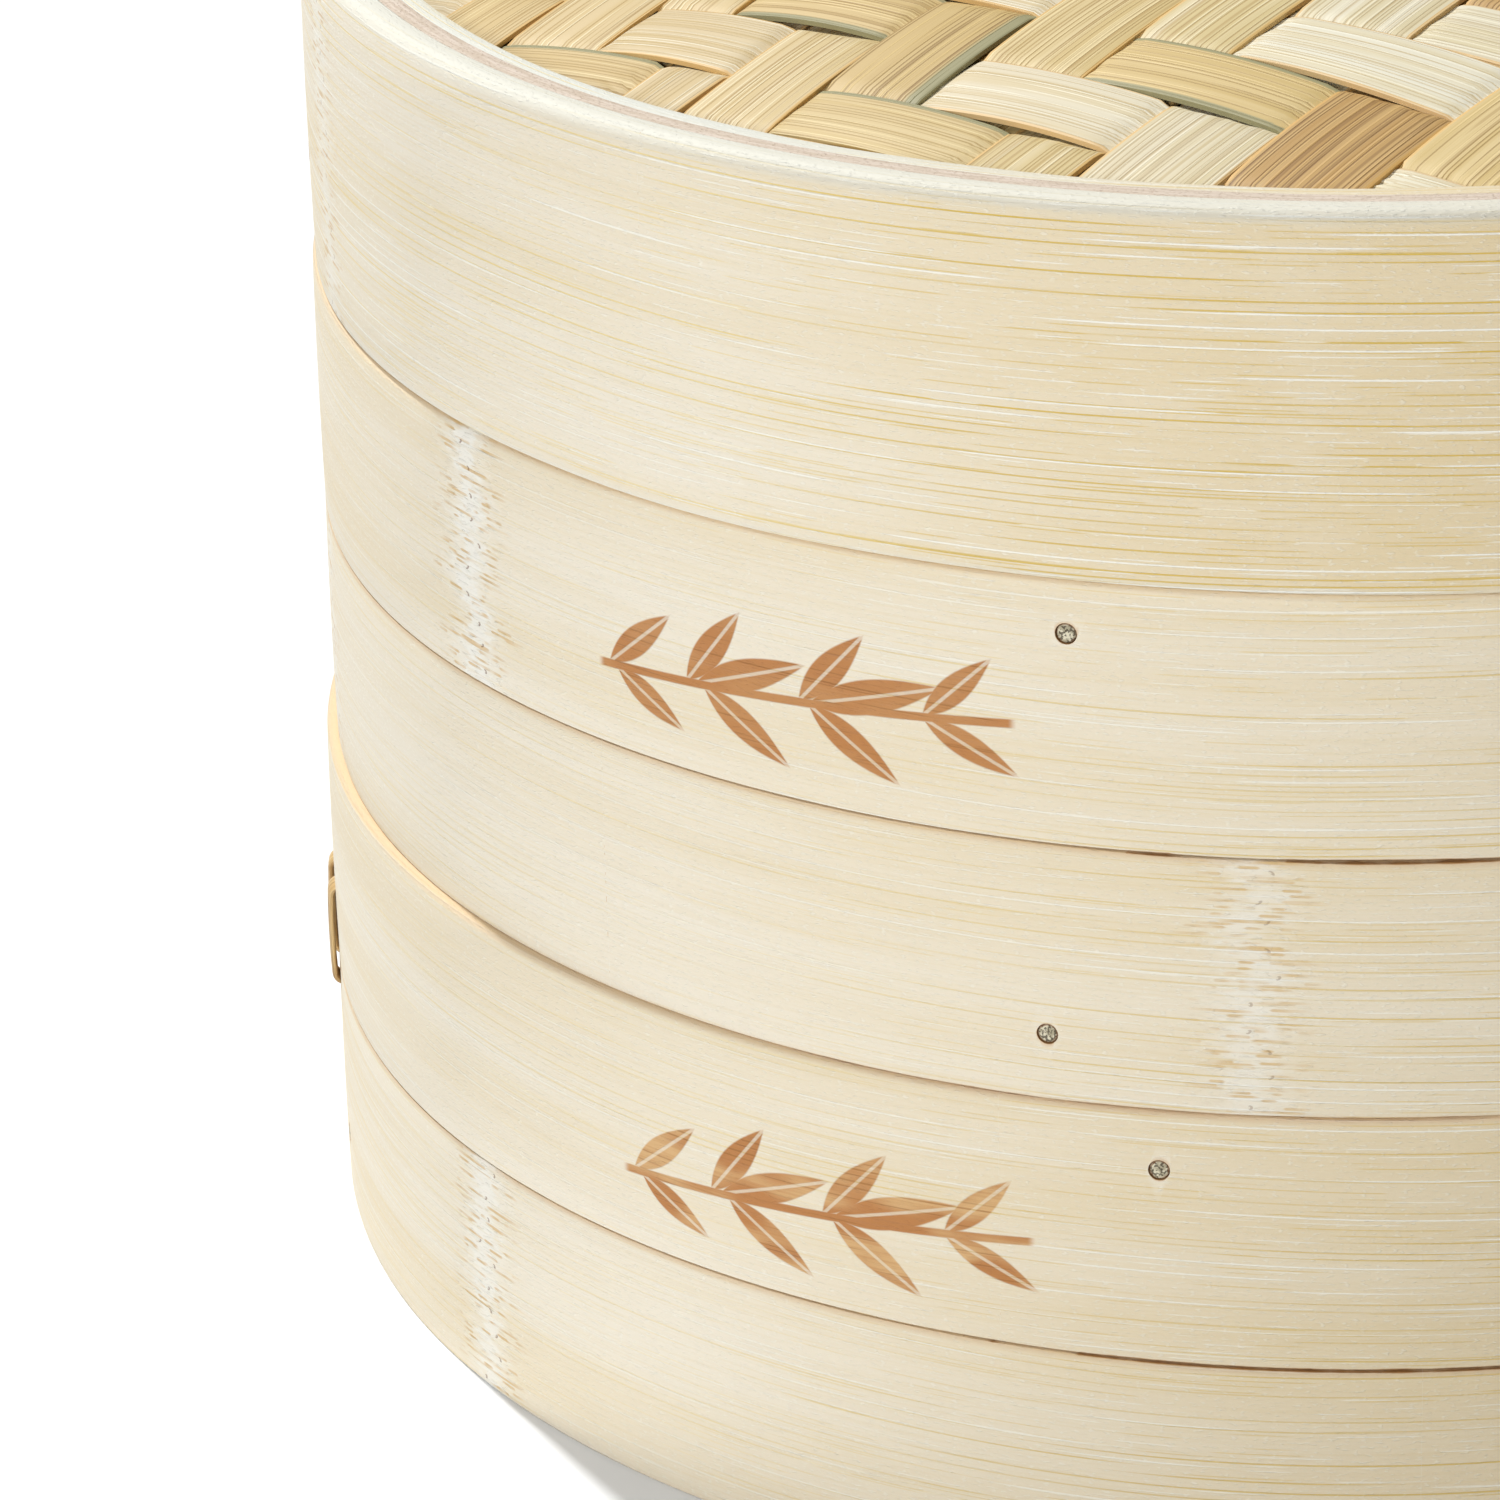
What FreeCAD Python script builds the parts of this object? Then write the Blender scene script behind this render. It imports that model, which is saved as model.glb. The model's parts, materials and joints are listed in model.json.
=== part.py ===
import FreeCAD, Part
import math
import os

# Bamboo steamer basket: two stacking tiers and a woven, domed lid.
# Millimetres, +Z up, front towards -Y, origin at the middle of the bottom.

# ---- driving dimensions -------------------------------------------------
TIER_RADIUS = 127.0          # a 10 inch basket
LID_RADIUS = 127.3           # the lid is a touch wider than the tiers
TIER_HEIGHT = 62.2
SEAM_HEIGHT = 31.0           # where a tier's two outer bands meet
SEAM_GAP = 0.2
LID_HEIGHT = 42.8            # the lid's band, without the dome
RIM_STEP = 0.1               # each strip inwards ends this much lower at the lid's rim

OUTER_PLY = 3.6              # the wall is three bent strips, one inside the other
MIDDLE_PLY = 2.5
INNER_PLY = 2.3
SOCKET_DEPTH = 6.0           # the outer band hangs this far below the inner strips
SPIGOT_HEIGHT = 5.4          # the inner strip stands this far above the outer band
EDGE_BEVEL = 0.4
RIM_BEVEL = 0.8              # the lid's worn top edge

SCARF_GAP = 0.3              # each strip's two ends meet in a slanted joint
SCARF_SLANT = 15.0           # degrees from the tangent

PEG_RADIUS = 1.12
PEG_HOLE_RADIUS = 1.15
PEG_PROUD = 0.1
PEGS_PER_BAND = 4
LOWER_PEG_RISE = 8.1         # above the bottom of a tier
LID_PEG_RISE = 14.0

FLOOR_RING_THICK = 2.8
FLOOR_RING_LOW = 6.4
FLOOR_LEVEL = 16.5           # the floor ring's top, which carries the slats
SLAT_COUNT = 11
SLAT_PITCH = 21.45
SLAT_WIDTH = 18.5
SLAT_THICK = 2.2
SLAT_ROUND = 0.6
BATTEN_OFFSET = 42.0         # the two battens run along X at this distance in Y
BATTEN_WIDTH = 10.0
BATTEN_THICK = 5.0
PIN_RADIUS = 0.97
PIN_HOLE_RADIUS = 1.0
PIN_LENGTH = 5.2
OUTERMOST_PIN = 104.0

LASHING_WIDTH = 4.5
LASHING_THICK = 0.9
LASHING_LOW = 27.0           # above the bottom of a tier
LASHING_HIGH = 41.0
LID_LASHING_LOW = 17.0       # above the bottom of the lid
LID_LASHING_HIGH = 31.0
LASHING_TURNS = (-4.5, 4.5, 8.5)   # degrees from the outer band's joint
MIDDLE_JOINT = -60.0         # the other strips' joints, in degrees from the outer band's
INNER_JOINT = -115.0
SUPPORT_JOINT = 60.0
WALL_CLEARANCE = 0.12

FIT = 0.3                    # between neighbouring curved faces
DOME_RISE = 12.0
DOME_EDGE_DROP = 1.8         # the weave's edge lies this far below the lid's rim
WEAVE_THICK = 3.4
UNDER_WEAVE_THICK = 1.4
RIB_WIDTH = 14.0
RIB_THICK = 2.0
SUPPORT_HOOP_THICK = 2.7

# Each piece stands where it settled within the loose fit of the spigots.
LOWER_CENTRE = (-1.5, 0.2)
UPPER_CENTRE = (-0.1, 0.0)
LID_CENTRE = (0.8, -0.6)

Z_AXIS = FreeCAD.Vector(0, 0, 1)


# ---- building blocks ----------------------------------------------------
def vec(x, y, z):
    return FreeCAD.Vector(x, y, z)


def turned(shape, degrees):
    """A copy of a shape, turned about the Z axis."""
    copy = shape.copy()
    copy.rotate(vec(0, 0, 0), Z_AXIS, degrees)
    return copy


def box(low, high):
    sides = [h - l for l, h in zip(low, high)]
    return Part.makeBox(sides[0], sides[1], sides[2], vec(*low))


def ring(inner, outer, low, high, top_outer_bevel=EDGE_BEVEL):
    """A closed hoop with bevelled edges."""
    bevel = EDGE_BEVEL
    corners = [
        (inner + bevel, low),
        (outer - bevel, low),
        (outer, low + bevel),
        (outer, high - top_outer_bevel),
        (outer - top_outer_bevel, high),
        (inner + bevel, high),
        (inner, high - bevel),
        (inner, low + bevel),
    ]
    wire = Part.makePolygon([vec(r, 0, z) for r, z in corners + corners[:1]])
    return Part.Face(wire).revolve(vec(0, 0, 0), Z_AXIS, 360)


def scarf(inner, outer, low, high, angle):
    """The thin slanted slot where a bent strip's two ends meet."""
    length = (outer - inner + 2) / math.sin(math.radians(SCARF_SLANT))
    slot = box((-SCARF_GAP / 2, -length / 2, low - 1), (SCARF_GAP / 2, length / 2, high + 1))
    slot = turned(slot, SCARF_SLANT)
    slot.translate(vec((inner + outer) / 2, 0, 0))
    return turned(slot, angle)


def rounded_rectangle(low, high, radius, place):
    """A rectangle's wire with rounded corners, in any plane that place(u, v) names."""
    (u0, v0), (u1, v1) = low, high
    centres = [
        (u1 - radius, v0 + radius, -90),
        (u1 - radius, v1 - radius, 0),
        (u0 + radius, v1 - radius, 90),
        (u0 + radius, v0 + radius, 180),
    ]
    arcs = []
    for u, v, start in centres:
        turns = [math.radians(start + step) for step in (0, 45, 90)]
        arcs.append([place(u + radius * math.cos(t), v + radius * math.sin(t)) for t in turns])
    edges = []
    for arc, following in zip(arcs, arcs[1:] + arcs[:1]):
        edges.append(Part.Arc(*arc).toShape())
        edges.append(Part.LineSegment(arc[2], following[0]).toShape())
    return Part.Wire(edges)


def bar(low, high, half_length, along, round_edge):
    """A straight bar with rounded long edges, along X or Y."""
    if along == "Y":
        wire = rounded_rectangle(low, high, round_edge, lambda u, v: vec(u, -half_length, v))
        return Part.Face(wire).extrude(vec(0, 2 * half_length, 0))
    wire = rounded_rectangle(low, high, round_edge, lambda u, v: vec(-half_length, u, v))
    return Part.Face(wire).extrude(vec(2 * half_length, 0, 0))


def radial_rods(phase, height, inner, outer, radius):
    """Rods that point outwards, evenly spaced around the wall."""
    rods = []
    for i in range(PEGS_PER_BAND):
        rod = Part.makeCylinder(radius, outer - inner, vec(inner, 0, height), vec(1, 0, 0))
        rods.append(turned(rod, phase + i * 360 / PEGS_PER_BAND))
    return rods


def lashing_turns(angle, inner, outer, low, high):
    """Flat cane loops through the wall, each a closed turn."""
    half = LASHING_WIDTH / 2
    skin = LASHING_THICK + WALL_CLEARANCE
    turns = []
    for offset in LASHING_TURNS:
        whole = box((inner - skin, -half, low), (outer + skin, half, high))
        hole = box(
            (inner - WALL_CLEARANCE, -half - 1, low + LASHING_THICK),
            (outer + WALL_CLEARANCE, half + 1, high - LASHING_THICK),
        )
        turns.append(turned(whole.cut(hole), angle + offset))
    return turns


def lashing_slots(angle, low, high):
    """The slots in the wall that the cane loops pass through."""
    half = LASHING_WIDTH / 2 + 0.1
    slots = []
    for offset in LASHING_TURNS:
        for z in (low, high - LASHING_THICK):
            slot = box((TIER_RADIUS - 20, -half, z - 0.1), (TIER_RADIUS + 5, half, z + LASHING_THICK + 0.1))
            slots.append(turned(slot, angle + offset))
    return slots


def cut_all(shape, tools):
    reach = shape.BoundBox
    touching = [tool for tool in tools if reach.intersect(tool.BoundBox)]
    return shape.cut(touching) if touching else shape


# ---- a tier -------------------------------------------------------------
def wall_radii(outer_radius):
    """The faces between the wall's strips, from the outside in."""
    middle = outer_radius - OUTER_PLY
    inner = middle - MIDDLE_PLY
    return outer_radius, middle, inner, inner - INNER_PLY


def tier_slats(inside, pins):
    """Parallel floor slats with their ends cut round."""
    reach = Part.makeCylinder(inside - 0.1, TIER_HEIGHT)
    slats = {}
    for i in range(SLAT_COUNT):
        middle = (i - (SLAT_COUNT - 1) / 2) * SLAT_PITCH
        low = (middle - SLAT_WIDTH / 2, FLOOR_LEVEL)
        high = (middle + SLAT_WIDTH / 2, FLOOR_LEVEL + SLAT_THICK)
        slat = bar(low, high, inside + 1, "Y", SLAT_ROUND).common(reach)
        slats[f"slat_{i + 1:02d}"] = cut_all(slat, pins)
    return slats


def tier_battens(inside, pins):
    """Two bearers under the slats, whose ends meet the wall."""
    reach = Part.makeCylinder(inside - 0.1, TIER_HEIGHT)
    battens = {}
    for name, side in (("front", -1), ("rear", 1)):
        middle = side * BATTEN_OFFSET
        low = (middle - BATTEN_WIDTH / 2, FLOOR_LEVEL - BATTEN_THICK)
        high = (middle + BATTEN_WIDTH / 2, FLOOR_LEVEL)
        batten = bar(low, high, inside + 1, "X", SLAT_ROUND).common(reach)
        battens[f"{name}_batten"] = cut_all(batten, pins)
    return battens


def slat_pins(radius):
    """Bamboo pins that hold each slat down on both battens."""
    pins = []
    for side in (-1, 1):
        for i in range(SLAT_COUNT):
            x = (i - (SLAT_COUNT - 1) / 2) * SLAT_PITCH
            x = max(-OUTERMOST_PIN, min(OUTERMOST_PIN, x))
            foot = vec(x, side * BATTEN_OFFSET, FLOOR_LEVEL + SLAT_THICK - PIN_LENGTH)
            pins.append(Part.makeCylinder(radius, PIN_LENGTH, foot))
    return pins


def floor_ring(inside, pegs):
    """The hoop that carries the slats, notched for the battens."""
    shape = ring(inside - FLOOR_RING_THICK, inside, FLOOR_RING_LOW, FLOOR_LEVEL)
    notch_low = FLOOR_LEVEL - BATTEN_THICK - 0.1
    half = BATTEN_WIDTH / 2 + 0.15
    notches = []
    for side in (-1, 1):
        y = side * BATTEN_OFFSET
        notches.append(box((-inside - 5, y - half, notch_low), (inside + 5, y + half, FLOOR_LEVEL + 1)))
    return cut_all(shape, notches + pegs)


def tier(upper_phase, peg_drop, lower_phase, lashing_angle):
    """All of one tier's pieces, with its bottom at z = 0.

    The wall pegs lie peg_drop below the tier's top."""
    outer, middle, inner, inside = wall_radii(TIER_RADIUS)
    peg_high = TIER_HEIGHT - peg_drop
    ring_inside = inside - FLOOR_RING_THICK
    holes = radial_rods(upper_phase, peg_high, inside - 5, outer + 5, PEG_HOLE_RADIUS)
    holes += radial_rods(lower_phase, LOWER_PEG_RISE, ring_inside - 5, outer + 5, PEG_HOLE_RADIUS)
    slots = lashing_slots(lashing_angle, LASHING_LOW, LASHING_HIGH)

    def strip(r_in, r_out, low, high, joint_angle):
        joint = scarf(r_in, r_out, low, high, joint_angle)
        return cut_all(ring(r_in, r_out, low, high), holes + slots + [joint])

    seam_low = SEAM_HEIGHT - SEAM_GAP / 2
    seam_high = SEAM_HEIGHT + SEAM_GAP / 2
    spigot_top = TIER_HEIGHT + SPIGOT_HEIGHT
    pieces = {
        "lower_band": strip(middle, outer, 0, seam_low, lashing_angle),
        "upper_band": strip(middle, outer, seam_high, TIER_HEIGHT, lashing_angle),
        "middle_hoop": strip(inner, middle, SOCKET_DEPTH, TIER_HEIGHT, lashing_angle + MIDDLE_JOINT),
        "inner_hoop": strip(inside, inner, SOCKET_DEPTH, spigot_top, lashing_angle + INNER_JOINT),
        "floor_ring": floor_ring(inside, holes),
        "wall_pegs": Part.makeCompound(
            radial_rods(upper_phase, peg_high, inside - PEG_PROUD, outer + PEG_PROUD, PEG_RADIUS)
        ),
        "floor_pegs": Part.makeCompound(
            radial_rods(lower_phase, LOWER_PEG_RISE, ring_inside - PEG_PROUD, outer + PEG_PROUD, PEG_RADIUS)
        ),
        "lashing": Part.makeCompound(
            lashing_turns(lashing_angle, inside, outer, LASHING_LOW, LASHING_HIGH)
        ),
        "slat_pins": Part.makeCompound(slat_pins(PIN_RADIUS)),
    }
    pin_holes = slat_pins(PIN_HOLE_RADIUS)
    pieces.update(tier_battens(inside, pin_holes))
    pieces.update(tier_slats(inside, pin_holes))
    return pieces


# ---- the lid ------------------------------------------------------------
def dome_edge(radius, drop):
    """The dome's arc from the axis to its edge, lowered by drop, as three points in XZ."""
    sphere = (radius ** 2 + DOME_RISE ** 2) / (2 * DOME_RISE)
    edge_z = LID_HEIGHT - DOME_EDGE_DROP - drop
    half_way = radius / 2
    half_z = edge_z + math.sqrt(sphere ** 2 - half_way ** 2) - math.sqrt(sphere ** 2 - radius ** 2)
    return vec(0, 0, edge_z + DOME_RISE), vec(half_way, 0, half_z), vec(radius, 0, edge_z)


def dome_slab(radius, top_drop, bottom_drop):
    """A domed sheet of even height between two lowered copies of the dome."""
    top = dome_edge(radius, top_drop)
    bottom = dome_edge(radius, bottom_drop)
    edges = [
        Part.Arc(*top).toShape(),
        Part.LineSegment(top[2], bottom[2]).toShape(),
        Part.Arc(bottom[2], bottom[1], bottom[0]).toShape(),
        Part.LineSegment(bottom[0], top[0]).toShape(),
    ]
    return Part.Face(Part.Wire(edges)).revolve(vec(0, 0, 0), Z_AXIS, 360)


def rib(radius, width, top_drop, bottom_drop, angle):
    """A bent bamboo strip across the lid, under the dome."""
    crown_top, _, end_top = dome_edge(radius, top_drop)
    crown_bottom, _, end_bottom = dome_edge(radius, bottom_drop)
    far_top = vec(-end_top.x, 0, end_top.z)
    far_bottom = vec(-end_bottom.x, 0, end_bottom.z)
    edges = [
        Part.Arc(far_top, crown_top, end_top).toShape(),
        Part.LineSegment(end_top, end_bottom).toShape(),
        Part.Arc(end_bottom, crown_bottom, far_bottom).toShape(),
        Part.LineSegment(far_bottom, far_top).toShape(),
    ]
    strip = Part.Face(Part.Wire(edges)).extrude(vec(0, width, 0))
    strip.translate(vec(0, -width / 2, 0))
    rounded_ends = strip.common(Part.makeCylinder(radius - 0.1, LID_HEIGHT + DOME_RISE))
    return turned(rounded_ends, angle)


def lid(peg_phase, lashing_angle, rib_angle):
    """All of the lid's pieces, with its bottom at z = 0."""
    outer, middle, inner, inside = wall_radii(LID_RADIUS)
    hoop_inside = inside - SUPPORT_HOOP_THICK
    weave_radius = inside - FIT
    under_drop = WEAVE_THICK + FIT
    rib_drop = under_drop + UNDER_WEAVE_THICK + FIT
    second_drop = rib_drop + RIB_THICK + FIT
    hoop_top = LID_HEIGHT - DOME_EDGE_DROP - rib_drop

    holes = radial_rods(peg_phase, LID_PEG_RISE, hoop_inside - 5, outer + 5, PEG_HOLE_RADIUS)
    slots = lashing_slots(lashing_angle, LID_LASHING_LOW, LID_LASHING_HIGH)
    notches = [
        rib(weave_radius, RIB_WIDTH + FIT, rib_drop - 2, rib_drop + RIB_THICK + 0.1, rib_angle),
        rib(weave_radius, RIB_WIDTH + FIT, rib_drop - 2, second_drop + RIB_THICK + 0.1, rib_angle + 90),
    ]

    def strip(r_in, r_out, low, high, joint_angle, top_bevel=EDGE_BEVEL):
        joint = scarf(r_in, r_out, low, high, joint_angle)
        return cut_all(ring(r_in, r_out, low, high, top_bevel), holes + slots + [joint])

    support = strip(hoop_inside, inside, SOCKET_DEPTH, hoop_top, lashing_angle + SUPPORT_JOINT)
    return {
        "outer_band": strip(middle, outer, 0, LID_HEIGHT, lashing_angle, RIM_BEVEL),
        "middle_hoop": strip(inner, middle, SOCKET_DEPTH, LID_HEIGHT - RIM_STEP, lashing_angle + MIDDLE_JOINT),
        "inner_hoop": strip(inside, inner, SOCKET_DEPTH, LID_HEIGHT - 2 * RIM_STEP, lashing_angle + INNER_JOINT),
        "support_hoop": cut_all(support, notches),
        "outer_weave": dome_slab(weave_radius, 0, WEAVE_THICK),
        "inner_weave": dome_slab(weave_radius, under_drop, under_drop + UNDER_WEAVE_THICK),
        "cross_rib": rib(weave_radius, RIB_WIDTH, rib_drop, rib_drop + RIB_THICK, rib_angle),
        "long_rib": rib(weave_radius, RIB_WIDTH, second_drop, second_drop + RIB_THICK, rib_angle + 90),
        "wall_pegs": Part.makeCompound(
            radial_rods(peg_phase, LID_PEG_RISE, hoop_inside - PEG_PROUD, outer + PEG_PROUD, PEG_RADIUS)
        ),
        "lashing": Part.makeCompound(
            lashing_turns(lashing_angle, hoop_inside, outer, LID_LASHING_LOW, LID_LASHING_HIGH)
        ),
    }


# ---- the whole steamer --------------------------------------------------
def write(prefix, pieces, centre, height):
    for name, shape in pieces.items():
        shape.translate(vec(centre[0], centre[1], height))
        shape.exportStep(f"parts/{prefix}_{name}.step")
        closed = all(solid.isValid() and solid.isClosed() for solid in shape.Solids)
        print(f"{prefix}_{name}: {len(shape.Solids)} solids, {shape.Volume:.0f} mm3, closed {closed}")


os.makedirs("parts", exist_ok=True)
write("lower", tier(-98.2, 7.2, -78.0, -179.0), LOWER_CENTRE, 0)
write("upper", tier(-103.4, 6.3, -104.5, 158.0), UPPER_CENTRE, TIER_HEIGHT)
write("lid", lid(-80.0, 140.0, 10.0), LID_CENTRE, 2 * TIER_HEIGHT)
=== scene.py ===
import json
import math
import random

import bmesh
import bpy
import numpy as np
from mathutils import Matrix, Vector


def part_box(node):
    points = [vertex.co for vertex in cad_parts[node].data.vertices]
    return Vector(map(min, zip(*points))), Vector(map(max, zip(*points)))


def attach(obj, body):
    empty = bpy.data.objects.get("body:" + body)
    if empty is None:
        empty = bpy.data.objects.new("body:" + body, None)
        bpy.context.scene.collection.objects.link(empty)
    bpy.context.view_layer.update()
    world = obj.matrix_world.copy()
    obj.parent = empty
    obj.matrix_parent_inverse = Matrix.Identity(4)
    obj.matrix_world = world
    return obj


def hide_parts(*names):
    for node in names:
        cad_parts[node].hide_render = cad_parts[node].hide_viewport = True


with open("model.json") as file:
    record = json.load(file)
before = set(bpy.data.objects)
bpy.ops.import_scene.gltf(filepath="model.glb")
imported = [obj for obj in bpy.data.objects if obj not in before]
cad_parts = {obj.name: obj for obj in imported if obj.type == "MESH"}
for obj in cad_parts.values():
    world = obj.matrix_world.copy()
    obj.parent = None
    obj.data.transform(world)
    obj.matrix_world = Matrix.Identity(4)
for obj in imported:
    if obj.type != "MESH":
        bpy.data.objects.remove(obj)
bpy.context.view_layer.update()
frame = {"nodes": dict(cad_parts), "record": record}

# A bamboo steamer: two stacking tiers and a woven, domed lid.
# Lengths are in millimetres and angles in degrees; MM turns them into Blender's metres.
MM = 0.001

# ---- the camera, in the object's frame ----------------------------------
CAMERA_PLACE = (0.0, -795.0, 396.0)
CAMERA_YAW = -5.43           # turned towards -X
CAMERA_PITCH = 23.40         # looking down
CAMERA_ROLL = -1.57
CAMERA_LENS = 163.0
CAMERA_SENSOR = 36.0

# ---- shape details that the CAD leaves plain ----------------------------
HOOP_STEPS = 540             # spans around a hoop
EDGE_ROUND = 0.45            # worn edges of the strips
LID_FLARE = 1.1              # the lid's lower edge at its loosest
CRISP_ROUND = 0.03           # edges that meet another strip
RIM_ROUND = 1.6              # the lid's outer top edge
LEDGE_ROUND = 0.9            # the top edge of each tier's upper band
SCARF_LENGTH = 13.0          # how far a bent strip's two thinned ends overlap
SCARF_FEATHER = 0.12         # the share of the thickness left at a thinned end
PEG_HOLE_RADIUS = 1.23
PEG_RADIUS = 1.12

WEAVE_ANGLE = 59.0           # the first family of strips, from +X; the other lies across it
WEAVE_THICK = 0.7
WEAVE_PITCH = 12.35
CROSS_PITCH = 12.25
WEAVE_SLAB = 3.4             # the room the top weave takes through the dome's thickness
UNDER_PITCH = 9.0
UNDER_THICK = 0.45
UNDER_SLAB = 1.4
RIB_WIDTH = 14.0
RIB_THICK = 2.0
LASHING_WIDTH = 4.1
LASHING_THICK = 0.8
LASHING_ROUND = 1.1          # how tightly a turn bends round the wall's edges

# Painted shade: the bent strips are coloured yellower and deeper towards the front right, by a share
# for each tier.
SHADE_TONE_ANGLE = -52.0           # where each bent strip is at its yellowest
SHADE_TONE_SHARES = {"lid": 0.95, "upper": 0.42, "lower": 0.80}
# How many fibre lines show, how clear they are where the band is pale, and how much
# clearer where painted shade makes it golden.
LINE_FORCE = {"lid": (1.45, 1.3, 0.3), "upper": (1.0, 0.6, 1.5), "lower": (1.05, 0.67, 0.95)}

# Bamboo nodes, as angles round each band, and how white and pitted each looks.
BAND_NODES = {
    "lid_outer_band": [(-92.6, 0.14), (-161.5, 0.6), (10.0, 0.8), (95.0, 0.6)],
    "upper_upper_band": [(-141.5, 1.0), (-35.0, 0.7), (62.0, 0.8), (150.0, 0.6)],
    "upper_lower_band": [(-94.3, 0.62), (5.0, 0.8), (104.0, 0.7), (192.0, 0.6)],
    "lower_upper_band": [(-62.0, 0.8), (40.0, 0.7), (140.0, 0.9)],
    "lower_lower_band": [(-142.0, 0.9), (-40.0, 0.8), (58.0, 0.7), (155.0, 0.7)],
}
# The scorched leaf sprigs: angle round the band, and height above the band's lower edge.
# Last comes how patchy the scorching is.
SCORCH_MARKS = {"upper_upper_band": (-118.4, 13.6, 0.15), "lower_upper_band": (-117.0, 13.2, 0.8)}
MARK_SCALE = 1.18
PIT_ROW = 3.1                # one pit may lie in each row of this height at a node


# ---- colours ------------------------------------------------------------
def linear(red, green, blue):
    """A colour given as 0 to 255 in sRGB, as the linear values that shaders take."""
    def one(value):
        share = value / 255
        return share / 12.92 if share <= 0.04045 else ((share + 0.055) / 1.055) ** 2.4
    return (one(red), one(green), one(blue), 1.0)


STRIP_TINT = (0.89, 0.91, 0.98)      # the woven strips against the bands


def tinted(colour, tint):
    """A colour with its red, green and blue scaled."""
    return (*(share * value for share, value in zip(tint, colour)), 1.0)


CREAM = linear(238, 229, 210)
STRAW = linear(232, 217, 186)
# Painted shade: the bands deepen towards this colour at the front right.
SHADE_HONEY = linear(226, 206, 165)
# Painted shade: the woven strips deepen towards this colour towards −X.
SHADE_GOLD = linear(202, 175, 123)
CHALK = linear(251, 248, 236)
NODE_WHITE = linear(243, 240, 230)
GOLD_LINE = linear(214, 180, 74)
PALE_LINE = linear(236, 212, 140)
NODE_DASH = linear(210, 168, 90)
UMBER = linear(122, 76, 34)
# Painted shade along the open cracks between bands.
CRACK_SHADE = linear(168, 118, 62)
SCORCH = linear(184, 118, 54)
SCORCH_PALE = linear(222, 182, 126)
SCORCH_DARK = linear(140, 84, 36)
SPLIT_EDGE = linear(222, 178, 104)
RAW_EDGE = linear(207, 191, 173)
RAW_PALE = linear(222, 208, 194)
RAW_PORE = linear(178, 152, 130)
GREY_GREEN = linear(146, 146, 112)
RIM_WHITE = linear(223, 224, 215)
LEDGE = linear(218, 189, 150)


# ---- shader helper ------------------------------------------------------
class Value:
    """A value in a shader, for sums and products with other values and plain numbers."""

    def __init__(self, shader, socket):
        self.shader, self.socket = shader, socket

    def __add__(self, other):
        return self.shader.maths("ADD", self, other)

    def __radd__(self, other):
        return self.shader.maths("ADD", other, self)

    def __sub__(self, other):
        return self.shader.maths("SUBTRACT", self, other)

    def __rsub__(self, other):
        return self.shader.maths("SUBTRACT", other, self)

    def __mul__(self, other):
        return self.shader.maths("MULTIPLY", self, other)

    def __truediv__(self, number):
        return self * (1 / number)

    def __abs__(self):
        return self.shader.maths("ABSOLUTE", self)


class Shader:
    """Builds one node material step by step, from Values and plain numbers."""

    def __init__(self, name):
        self.material = bpy.data.materials.new(name)
        self.material.use_nodes = True
        self.tree = self.material.node_tree
        self.surface = self.tree.nodes["Principled BSDF"]

    def plug(self, socket, value):
        if isinstance(value, Value):
            self.tree.links.new(value.socket, socket)
        elif value is not None:
            socket.default_value = value

    def node(self, kind, *items, output=0, **settings):
        """One output of a new node, whose first inputs take the items."""
        node = self.tree.nodes.new("ShaderNode" + kind)
        for name, setting in settings.items():
            setattr(node, name, setting)
        for socket, item in zip(node.inputs, items):
            self.plug(socket, item)
        return Value(self, node.outputs[output])

    def maths(self, operation, a, b=None, clamp=False):
        return self.node("Math", a, b, operation=operation, use_clamp=clamp)

    def step(self, value, low, high):
        """0 below low, 1 above high, smooth between; low may be the greater one."""
        ends = (high, low, 1.0, 0.0) if low > high else (low, high, 0.0, 1.0)
        return self.node("MapRange", value, *ends, interpolation_type="SMOOTHSTEP")

    def mix(self, share, first, second):
        unused = [None] * 5      # the node's inputs for plain numbers and vectors
        return self.node("Mix", share, *unused, first, second, output=2, data_type="RGBA")

    def toss(self, cell, seed):
        """A random number from 0 to 1 for each whole number."""
        return self.node("TexWhiteNoise", None, cell + seed * 7.13, noise_dimensions="1D")

    def attribute(self, name):
        return self.node("Attribute", output="Fac", attribute_name=name)

    def grain(self):
        """Millimetres along and across the fibres."""
        parts = self.tree.nodes.new("ShaderNodeSeparateXYZ")
        self.plug(parts.inputs[0], self.node("UVMap", uv_map="grain"))
        return Value(self, parts.outputs[0]), Value(self, parts.outputs[1])

    def noise(self, along, across, length, width, seed, detail=0.0):
        """Noise stretched to length by width millimetres, about 0.5."""
        noise = self.node("TexNoise", self.node("CombineXYZ", along / length, across / width, seed))
        noise.socket.node.inputs["Scale"].default_value = 1.0
        noise.socket.node.inputs["Detail"].default_value = detail
        return noise

    def finish(self, colour, roughness, height, depth_mm, specular=0.35):
        """Ends the material: height is in units of depth_mm."""
        self.plug(self.surface.inputs["Base Color"], colour)
        self.plug(self.surface.inputs["Roughness"], roughness)
        self.surface.inputs["Specular IOR Level"].default_value = specular
        bump = self.tree.nodes.new("ShaderNodeBump")
        bump.inputs["Strength"].default_value = 1.0
        bump.inputs["Distance"].default_value = depth_mm * MM
        self.plug(bump.inputs["Height"], height)
        self.plug(self.surface.inputs["Normal"], Value(self, bump.outputs[0]))
        return self.material


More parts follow.
